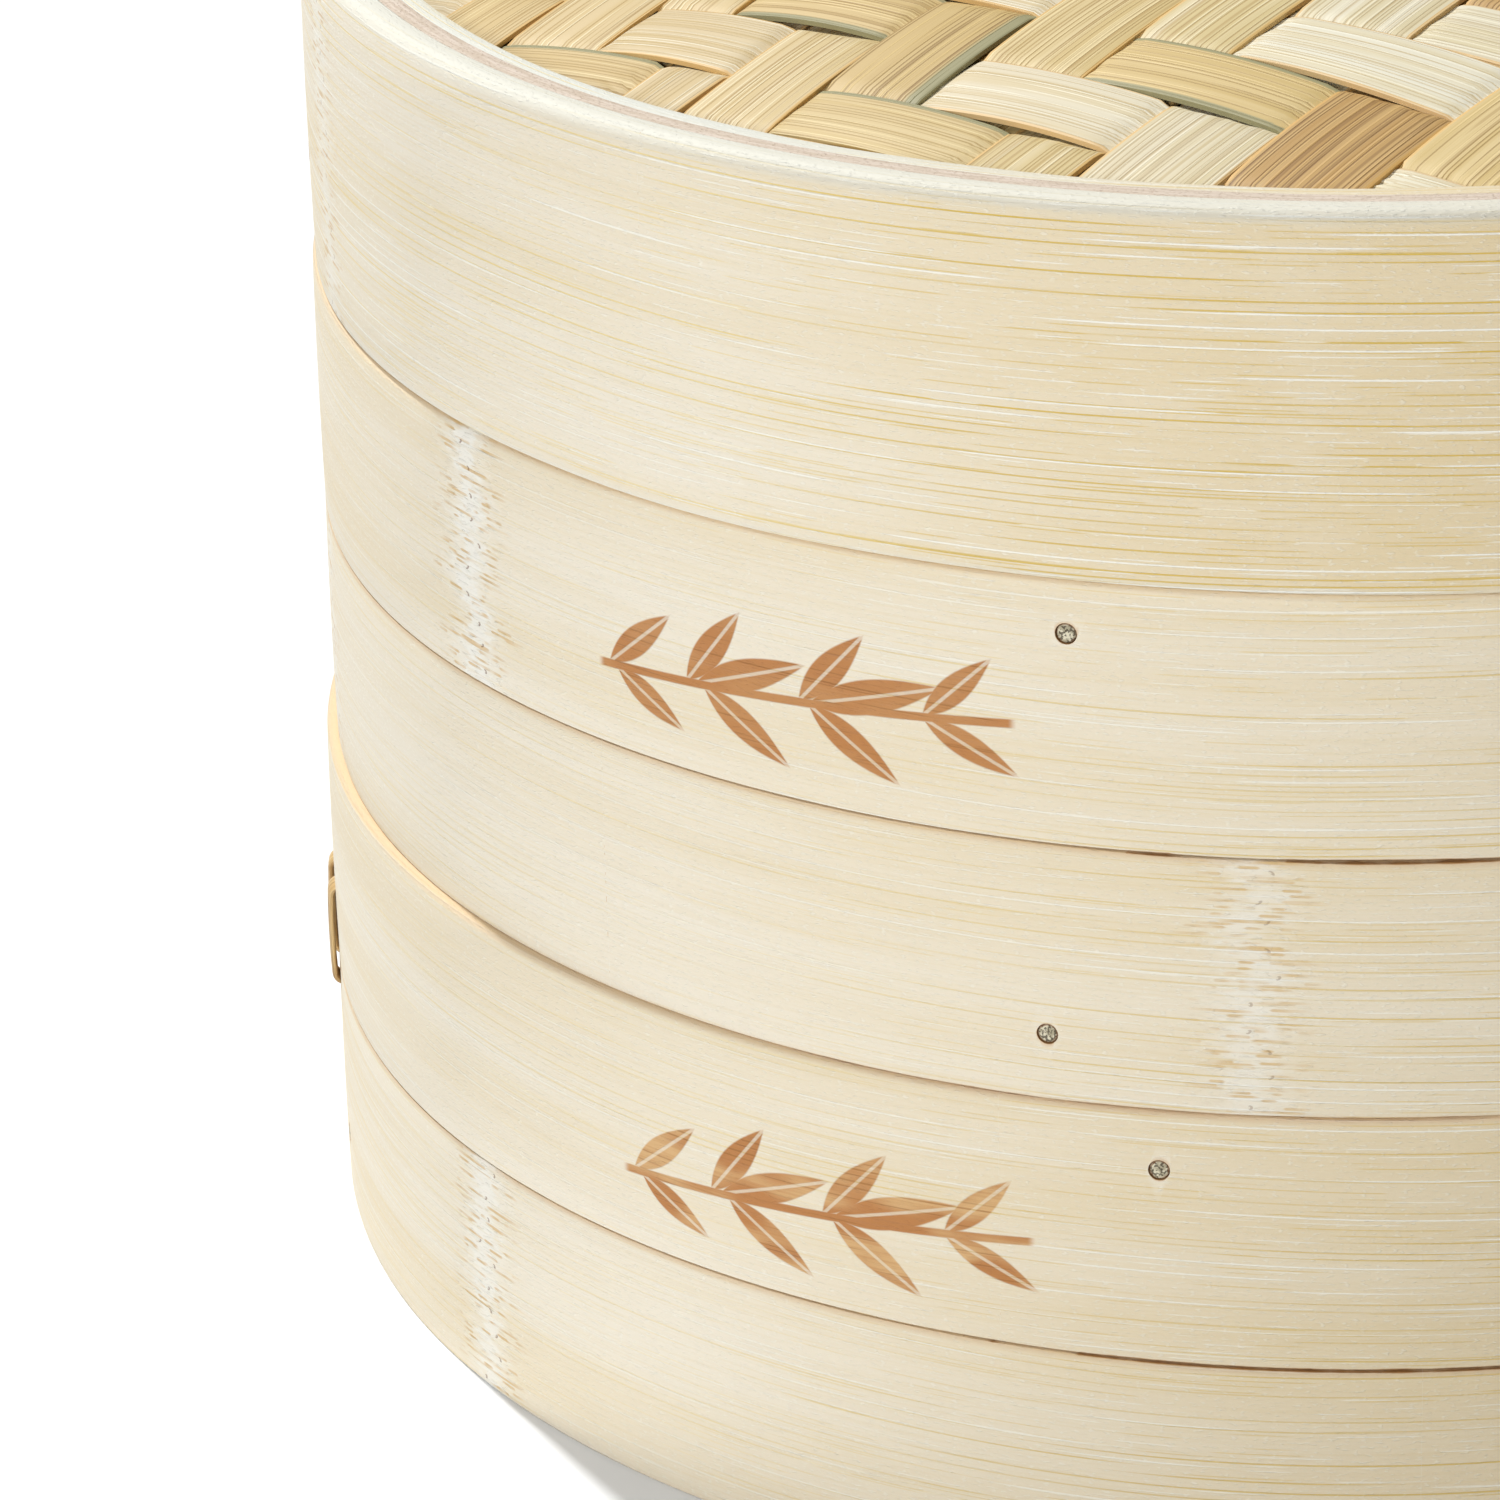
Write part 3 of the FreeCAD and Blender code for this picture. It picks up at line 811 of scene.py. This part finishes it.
def float_profile(edges, over, thick, arch_over, arch_under, rng, gap=0.5):
    """Heights along one strip: it arches over a run of strips and dips under the next run."""
    indices = sorted(edges)[:-1]
    grid = np.arange(edges[indices[0]], edges[indices[-1] + 1], 0.25)
    height = np.zeros_like(grid)
    i = 0
    while i < len(indices):
        j = i
        while j + 1 < len(indices) and over(indices[j + 1]) == over(indices[i]):
            j += 1
        start, stop = edges[indices[i]], edges[indices[j] + 1]
        inside = (grid >= start) & (grid <= stop)
        share = np.clip((grid[inside] - start) / (stop - start), 0, 1)
        arch = np.sin(math.pi * share) ** 0.85 * min(1.0, (stop - start) / 20)
        if over(indices[i]):
            height[inside] = thick * 0.56 + arch * arch_over * rng.uniform(0.75, 1.15)
        else:
            height[inside] = -thick * 0.56 - arch * arch_under
        i = j + 1
    kernel = np.exp(-0.5 * (np.arange(-8, 9) * 0.25 / gap) ** 2)
    height = np.convolve(np.pad(height, 8, mode="edge"), kernel / kernel.sum(), mode="valid")
    return grid, height


def dome(rise, edge_height, radius, centre):
    """The height of the lid's dome at any place."""
    sphere = (radius ** 2 + rise ** 2) / (2 * rise)
    base = edge_height - math.sqrt(sphere ** 2 - radius ** 2)

    def height(x, y):
        away = np.minimum((x - centre[0]) ** 2 + (y - centre[1]) ** 2, radius ** 2)
        return base + np.sqrt(sphere ** 2 - away)
    return height


def pick(styles, index, rng):
    """The look of one strip, and which sides keep their skin: chosen at the front, else
    drawn at random."""
    look = styles.get(index) or rng.choice(["cream", "pale", "cream", "straw", "tan", "honey"])
    return look if isinstance(look, tuple) else (look, None)


def outer_weave(looks):
    """The lid's woven top: strips over two and under two, one step aside in each next row."""
    node = "lid_outer_weave"
    centre, _, reach, low, top = ring_of(node)
    rise = top - low - WEAVE_SLAB
    surface = dome(rise, top - rise - 1.95, reach, centre)
    second = strip_edges(CROSS_PITCH, -114.5, -1, 20, {0: 10.8, 1: 12.7, 2: 11.8, 3: 13.0})
    # The first family counts towards the right, against its own across direction.
    across_first = strip_edges(WEAVE_PITCH, -5.8, -10, 11, {
        0: 12.5, 1: 12.7, 2: 12.0, 3: 14.4, 4: 14.2, -1: 12.0, -2: 9.2, -3: 10.2, -4: 12.7})
    first_styles = {0: ("golden", "left"), 1: "straw", 2: "cream", 3: "pale", 4: "brown", 5: "tan",
                    -1: "cream", -2: "pale", -3: "cream", -4: "cream", -5: "straw"}
    second_styles = {0: ("straw", "right"), 1: "white", 2: ("tan", "both"), 3: "white", 4: "pale"}

    def second_over(a, b):
        return (a - b) % 4 in (0, 1)

    def woven(kind, index, angle, low_edge, high_edge, crossed, over, arch, styles):
        if min(abs(low_edge), abs(high_edge)) > reach - 2 and low_edge * high_edge > 0:
            return
        grid, heights = float_profile(crossed, over, WEAVE_THICK, arch, 0.12, draws)
        look, skin = pick(styles, index, draws)
        name = f"{kind}{index + 20}"
        rng = random.Random(name)
        offset = (low_edge + high_edge) / 2
        width = high_edge - low_edge - rng.uniform(0.15, 0.5)
        lean = rng.uniform(-0.15, 0.15)

        def middle(x, y, along):
            return surface(x, y) + np.interp(along, grid, heights)

        mesh = lath(f"lid-weave-{kind}-{index + 20:02d}", angle, offset, width, WEAVE_THICK, centre,
                    reach, middle, name, crown=0.10, skin=skin or "both",
                    roll=lambda along: lean * np.sin(along / 9.0 + index + 20))
        piece(mesh, looks[look + ("_edged" if skin else "")], node)

    # Along the first family, distance runs as the second family's offsets do.
    draws = random.Random(5)
    for a in sorted(across_first)[:-1]:
        woven("a", a, WEAVE_ANGLE, -across_first[a + 1], -across_first[a], second,
              lambda b: not second_over(a, b), 0.35, first_styles)
    for b in sorted(second)[:-1]:
        woven("b", b, WEAVE_ANGLE - 90, second[b], second[b + 1], across_first,
              lambda a: second_over(a, b), 0.55, second_styles)


def inner_weave(looks):
    """The finer weave under the top one, over one and under one."""
    node = "lid_inner_weave"
    centre, _, reach, low, top = ring_of(node)
    rise = top - low - UNDER_SLAB
    surface = dome(rise, top - rise - UNDER_SLAB / 2, reach, centre)
    count = int(reach / UNDER_PITCH) + 1
    edges = {i: (i - 0.5) * UNDER_PITCH for i in range(-count, count + 2)}
    for family, angle in enumerate((WEAVE_ANGLE + 45, WEAVE_ANGLE - 45)):
        meshes = []
        rng = random.Random(40 + family)
        for i in range(-count, count + 1):
            if abs(i * UNDER_PITCH) > reach - UNDER_PITCH / 3:
                continue
            grid, heights = float_profile(edges, lambda j: (i + j) % 2 == family, UNDER_THICK,
                                          0.12, 0.12, rng, gap=1.2)

            def middle(x, y, along, grid=grid, heights=heights):
                return surface(x, y) + np.interp(along, grid, heights)

            meshes.append(lath(f"under{family}{i}", angle, i * UNDER_PITCH, UNDER_PITCH - 0.7,
                               UNDER_THICK, centre, reach, middle, f"u{family}{i}", step=2.6))
        name = f"lid-under-weave-{'ab'[family]}"
        piece(joined(name, meshes), looks["under"], node)


# ---- lashings -----------------------------------------------------------
def wall_at(node, low, high):
    """The wall's centre, the middle of a lashing turn, and unit vectors outwards and sideways."""
    band_name = "outer_band" if node.startswith("lid") else "upper_band"
    hub = ring_of(node.replace("lashing", band_name))[0]
    spot = (low + high) / 2
    outward = np.array([*(spot[:2] - hub), 0.0])
    outward /= np.linalg.norm(outward)
    return hub, spot, outward, np.array([-outward[1], outward[0], 0.0])


def lashing(node, material):
    """Flat cane wound through the wall, one rounded turn for each CAD loop."""
    meshes = []
    points = points_of(node)
    for index, (low, high) in enumerate(sorted(solids_of(node), key=lambda box: tuple(box[0][:2]))):
        rng = random.Random(f"{node}{index}")
        hub, _, outward, sideways = wall_at(node, low, high)
        mine = points[np.all((points >= low - 0.01) & (points <= high + 0.01), axis=1)]
        far = (mine[:, :2] - hub) @ outward[:2]
        inside, outside = far.min() + 0.45, far.max() - 0.40
        bottom, top = low[2] + 0.45, high[2] - 0.45
        lean = rng.uniform(-0.9, 0.9)
        path = []
        corners = [(outside, bottom, -90), (outside, top, 0), (inside, top, 90), (inside, bottom, 180)]
        for r, z, start in corners:
            cr = r - LASHING_ROUND if r == outside else r + LASHING_ROUND
            cz = z + LASHING_ROUND if z == bottom else z - LASHING_ROUND
            for step in range(6):
                turn = math.radians(start + step * 18)
                path.append((cr + LASHING_ROUND * math.cos(turn), cz + LASHING_ROUND * math.sin(turn)))
            if start == -90:
                for share in (0.25, 0.5, 0.75):
                    bow = 0.12 * math.sin(math.pi * share)
                    path.append((outside + bow, bottom + (top - bottom) * share))
        path = np.array(path)
        tangent = np.roll(path, -1, axis=0) - np.roll(path, 1, axis=0)
        tangent /= np.linalg.norm(tangent, axis=1)[:, None]
        normal = np.stack([tangent[:, 1], -tangent[:, 0]], axis=1)
        section = [(math.cos(math.radians(a)), math.sin(math.radians(a))) for a in range(0, 360, 24)]
        loops = np.zeros((len(path), len(section), 3))
        base = np.array([hub[0], hub[1], 0.0])
        for i, (r, z) in enumerate(path):
            shift = lean * (z - (bottom + top) / 2) / (top - bottom)
            for j, (c, s) in enumerate(section):
                wide = math.copysign(abs(c) ** 0.6, c) * LASHING_WIDTH / 2 + shift
                thin = math.copysign(abs(s) ** 0.8, s) * LASHING_THICK / 2
                spot = base + outward * (r + normal[i, 0] * thin) + sideways * wide
                spot[2] = z + normal[i, 1] * thin
                loops[i, len(section) - 1 - j] = spot
        gaps = np.linalg.norm(np.roll(path, -1, axis=0) - path, axis=1)
        along = np.concatenate([[0], np.cumsum(gaps)]) + 30 * index
        across = np.linspace(0, 9.5, len(section) + 1)
        meshes.append(swept(f"turn{index}", loops, along, across, closed=True))
    piece(joined(dashed(node), meshes), material, node)


# ---- tiers and lid ------------------------------------------------------
def seam_gap(seed, fade_from, fade_to, least, most):
    """Half the crack between two bands, wider towards the front right."""
    def gap(angle):
        degrees = (np.degrees(angle) + 180) % 360 - 180
        share = np.clip((degrees - fade_from) / (fade_to - fade_from), 0, 1)
        share = np.where(degrees > 40, np.clip((160 - degrees) / 60, 0.2, 1), share)
        rough = (0.5 + wander(angle, seed, 0.5, 3, 48)) ** 1.3
        return least + (most - least) * share * (0.2 + 0.8 * rough)
    return gap


def slot_cutters(node):
    """Boxes where each lashing turn passes through the wall."""
    cutters = []
    for index, (low, high) in enumerate(solids_of(node)):
        _, spot, outward, sideways = wall_at(node, low, high)
        for z in (low[2] - 0.1, high[2] - 1.0):
            loops = np.zeros((2, 4, 3))
            for i, reach in enumerate((-9.0, 9.0)):
                for j, (w, h) in enumerate(((-2.4, 0), (-2.4, 1.1), (2.4, 1.1), (2.4, 0))):
                    loops[i, j] = spot + outward * reach + sideways * w
                    loops[i, j, 2] = z + h
            cutters.append(swept(f"slot{index}", loops, [0, 1], range(5)))
    return cutters


def band(node, joint, seed, pegs, lashed=None, **shape):
    """One outer band, with its peg holes, lashing slots, bamboo nodes and any scorched mark."""
    mesh, shift = hoop(node, joint, seed, marks=BAND_NODES[node], **shape)
    mark = mark_place(node, joint, shift) if node in SCORCH_MARKS else None
    edges = (RIM_WHITE, 2.0) if node.startswith("lid") else (LEDGE, 0.8)
    material = bamboo(f"bamboo {node.replace('_', ' ')}", seed, CREAM, STRAW, mark, edges,
                      LINE_FORCE[node.split("_")[0]])
    cutters = radial_rods(pegs, PEG_HOLE_RADIUS, "hole", proud=1.5)
    if lashed:
        cutters += slot_cutters(lashed)
    piece(cut_holes(mesh, cutters), material, node, sharp=50)


def floor_piece(node, angle, material, crown):
    """A slat or batten with a slightly crowned top, cut to the wall's curve."""
    tier = node.split("_")[0]
    centre, _, reach, _, _ = ring_of(f"{tier}_floor_ring")
    low, high = box_of(node)
    middle_point = (low + high) / 2
    normal = headings(angle)[1]
    offset = float((middle_point[:2] - centre) @ normal)
    width = float(abs((high - low)[:2] @ np.abs(normal)))
    thick = high[2] - low[2]
    mesh = lath(dashed(node), angle, offset, width, thick - crown, centre, reach - 0.2,
                lambda x, y, along: np.full_like(x, middle_point[2] - crown / 2), node, step=3.0,
                crown=crown)
    piece(mesh, material, node)


def batten_notches(tier_name):
    """Boxes around a tier's two battens, a little larger than they are."""
    boxes = []
    for part in ("front_batten", "rear_batten"):
        low, high = box_of(f"{tier_name}_{part}")
        (x0, y0, z0), (x1, y1, z1) = low - (5, 0.15, 0.1), high + (5, 0.15, 1.0)
        loops = np.array([[(x, y0, z0), (x, y1, z0), (x, y1, z1), (x, y0, z1)] for x in (x0, x1)])
        boxes.append(swept(part, loops, [0, 1], range(5)))
    return boxes


def rib(node, angle, looks):
    """A bent strip under the dome, in place of its CAD rib."""
    top = ring_of(node)[4]
    centre, _, reach, weave_low, weave_top = ring_of("lid_outer_weave")
    rise = weave_top - weave_low - WEAVE_SLAB
    surface = dome(rise, top - rise - RIB_THICK / 2, reach, centre)
    mesh = lath(dashed(node), angle, 0.0, RIB_WIDTH, RIB_THICK, centre, reach - 0.2,
                lambda x, y, along: surface(x, y), node, step=3.0)
    piece(mesh, looks["straw"], node)


def pegs(node, material):
    piece(joined(dashed(node), radial_rods(node, PEG_RADIUS, "peg")), material, node)


def pins(node, material):
    """The small upright pins that hold the slats."""
    rods = []
    for index, (low, high) in enumerate(solids_of(node)):
        start = Vector(((low[0] + high[0]) / 2, (low[1] + high[1]) / 2, low[2]))
        radius = (high[0] - low[0]) / 2
        rods.append(rod(f"pin{index}", start, (0, 0, 1), high[2] - low[2], radius, 0.05, 2.0 * index))
    piece(joined(dashed(node), rods), material, node)


def tier(name, joint, seed, looks, seam, seat):
    """One tier's visible pieces, in place of its CAD nodes."""
    band(f"{name}_lower_band", joint, seed, f"{name}_floor_pegs", shape_seed=seed,
         low_gap=seat, high_gap=seam, lashed=f"{name}_lashing", bulge=0.12, low_edge=0.5,
         low_round=0.25, top_edge=CRISP_ROUND, seams="top low")
    band(f"{name}_upper_band", joint + 0.8, seed + 1, f"{name}_wall_pegs", shape_seed=seed,
         low_gap=seam, lashed=f"{name}_lashing", bulge=0.12, top_edge=LEDGE_ROUND,
         low_round=CRISP_ROUND, low_edge=0.9, seams="low")
    for part, turn, look in (("middle_hoop", -60, "raw"), ("inner_hoop", -115, "hoop"),
                             ("floor_ring", 100, "hoop")):
        node = f"{name}_{part}"
        mesh, _ = hoop(node, joint + turn, seed + len(part), shape_seed=seed)
        if part == "floor_ring":
            mesh = cut_holes(mesh, batten_notches(name))
        piece(mesh, looks[look], node)
    for index in range(1, 12):
        look = random.Random(seed * 31 + index).choice(["cream", "straw", "cream", "tan"])
        floor_piece(f"{name}_slat_{index:02d}", 90, looks[look], 0.35)
    for part in ("front_batten", "rear_batten"):
        floor_piece(f"{name}_{part}", 0, looks["straw"], 0.1)
    pegs(f"{name}_wall_pegs", looks["end"])
    pegs(f"{name}_floor_pegs", looks["end"])
    pins(f"{name}_slat_pins", looks["end"])
    lashing(f"{name}_lashing", looks["cane"])


def flare_share(angle):
    """How far the lid's lower edge stands off the tier: most at the front right."""
    return np.clip(np.cos(angle - math.radians(-35)), 0, 1) ** 2


def lid(joint, seed, looks):
    """The lid's hoops, weave, ribs and fastenings."""
    band("lid_outer_band", joint, seed, "lid_wall_pegs", shape_seed=seed, top_edge=RIM_ROUND,
         lashed="lid_lashing", bulge=0.2, low_edge=1.1, low_round=0.25,
         flare=lambda a: LID_FLARE * flare_share(a),
         low_gap=lambda a: 0.12 + 0.35 * flare_share(a) + wander(a, 77, 0.10, 3, 30))
    for part, turn, look in (("middle_hoop", -60, "raw"), ("inner_hoop", -115, "rim"),
                             ("support_hoop", 60, "hoop")):
        node = f"lid_{part}"
        mesh, _ = hoop(node, joint + turn, seed + len(part), shape_seed=seed, edge=0.2, top_edge=0.2,
                       high_gap=lambda a, part=part: wander(a, len(part), 0.10, 3, 30) + 0.10)
        piece(mesh, looks[look], node)
    outer_weave(looks)
    inner_weave(looks)
    rib("lid_cross_rib", 10.0, looks)
    rib("lid_long_rib", 100.0, looks)
    pegs("lid_wall_pegs", looks["end"])
    lashing("lid_lashing", looks["cane"])


def all_looks():
    """Materials that several pieces share."""
    tan_line, brown_line = linear(174, 138, 74), linear(132, 92, 44)
    tones = {
        "cream": (linear(234, 220, 178), linear(220, 200, 142), tan_line, 0.6),
        "pale": (linear(235, 225, 193), linear(223, 208, 164), linear(186, 158, 104), 0.5),
        "white": (linear(240, 233, 206), linear(231, 218, 180), linear(202, 172, 106), 0.5),
        "straw": (linear(230, 210, 156), linear(215, 191, 128), tan_line, 0.6),
        "tan": (linear(230, 205, 146), linear(215, 187, 121), linear(168, 132, 72), 0.6),
        "honey": (linear(214, 186, 122), linear(197, 165, 96), linear(148, 108, 52), 0.62),
        "golden": (linear(209, 181, 116), linear(193, 162, 94), linear(142, 106, 52), 0.66),
        "brown": (linear(210, 173, 110), linear(193, 152, 88), brown_line, 0.72),
        "under": (linear(226, 184, 118), linear(198, 152, 88), brown_line, 0.5),
    }
    looks = {}
    for look, (pale, deep, line, force) in tones.items():
        tones[look] = (*(tinted(colour, STRIP_TINT) for colour in (pale, deep, line)), force)
    for index, (look, (pale, deep, line, force)) in enumerate(tones.items()):
        looks[look] = strip(f"strip {look}", 31.0 + 5 * index, pale, deep, line, force)
    for index, (look, reach) in enumerate((("straw", 0.8), ("tan", 0.75), ("golden", 1.7))):
        pale, deep, line, force = tones[look]
        looks[look + "_edged"] = strip(f"strip {look} with skin", 83.0 + 5 * index, pale, deep, line,
                                       force, (GREY_GREEN, reach, 0.85))
    looks["rim"] = bamboo("rim white", 67.0, RIM_WHITE, linear(219, 218, 206))
    looks["hoop"] = bamboo("inner hoop", 69.0, CREAM, STRAW)
    looks["raw"] = raw_strip("middle strip edge", 71.0)
    looks["end"] = end_grain("peg end grain", 73.0)
    looks["cane"] = cane("cane lashing", 79.0)
    return looks


# ---- stage --------------------------------------------------------------
def camera():
    yaw, pitch, roll = (math.radians(a) for a in (CAMERA_YAW, CAMERA_PITCH, CAMERA_ROLL))
    level_out = Vector((math.sin(yaw), math.cos(yaw), 0))
    forward = math.cos(pitch) * level_out - Vector((0, 0, math.sin(pitch)))
    level = Vector((math.cos(yaw), -math.sin(yaw), 0))
    plumb = level.cross(forward)
    right = math.cos(roll) * level + math.sin(roll) * plumb
    up = -math.sin(roll) * level + math.cos(roll) * plumb
    data = bpy.data.cameras.new("camera")
    data.lens = CAMERA_LENS
    data.sensor_width = CAMERA_SENSOR
    data.clip_start = 0.01
    data.clip_end = 50
    obj = shown("camera", data)
    turn = Matrix((right, up, -forward)).transposed().to_4x4()
    obj.matrix_world = Matrix.Translation(Vector(CAMERA_PLACE) * MM) @ turn
    bpy.context.scene.camera = obj


def area_light(name, place, aim, size, power, colour):
    data = bpy.data.lights.new(name, "AREA")
    data.shape = "DISK"
    data.size = size
    data.energy = power
    data.color = colour
    turn = (Vector(aim) - Vector(place)).to_track_quat("-Z", "Y")
    shown(name, data).matrix_world = Matrix.Translation(Vector(place)) @ turn.to_matrix().to_4x4()


def floor():
    mesh = bpy.data.meshes.new("floor")
    half = 12.0
    corners = [(-half, -half, 0), (half, -half, 0), (half, half, 0), (-half, half, 0)]
    mesh.from_pydata(corners, [], [(0, 1, 2, 3)])
    s = Shader("floor paper")
    s.surface.inputs["Base Color"].default_value = (0.85, 0.87, 0.90, 1)
    s.surface.inputs["Roughness"].default_value = 0.9
    mesh.materials.append(s.material)
    shown("floor", mesh)


def studio():
    """Soft light from the front, low and high, and a firmer one from high behind the left."""
    world = bpy.data.worlds.new("studio")
    bpy.context.scene.world = world
    world.use_nodes = True
    backdrop = world.node_tree.nodes["Background"].inputs
    backdrop["Color"].default_value = (1.0, 1.0, 1.0, 1.0)
    backdrop["Strength"].default_value = 0.04
    aim = (0, 0, 0.08)
    cool = (0.985, 0.99, 1.0)
    area_light("back key", (-0.902, 1.114, 2.13), aim, 0.12, 65, (1.0, 0.99, 0.97))
    area_light("front fill", (-0.78, -1.92, 0.85), aim, 0.6, 22, cool)
    area_light("top fill", (-0.26, -1.46, 1.84), aim, 0.35, 7.5, cool)
    bpy.context.scene.view_settings.view_transform = "Standard"


camera()
studio()
floor()
shared_looks = all_looks()
tier("lower", -179.0, 11, shared_looks, seam_gap(21, -134, -90, 0.001, 0.155),
     lambda angle: 0 * angle)
tier("upper", 158.0, 17, shared_looks, seam_gap(22, -130, -90, 0.001, 0.15),
     seam_gap(23, -135, -90, 0.0, 0.34))
lid(140.0, 25, shared_looks)
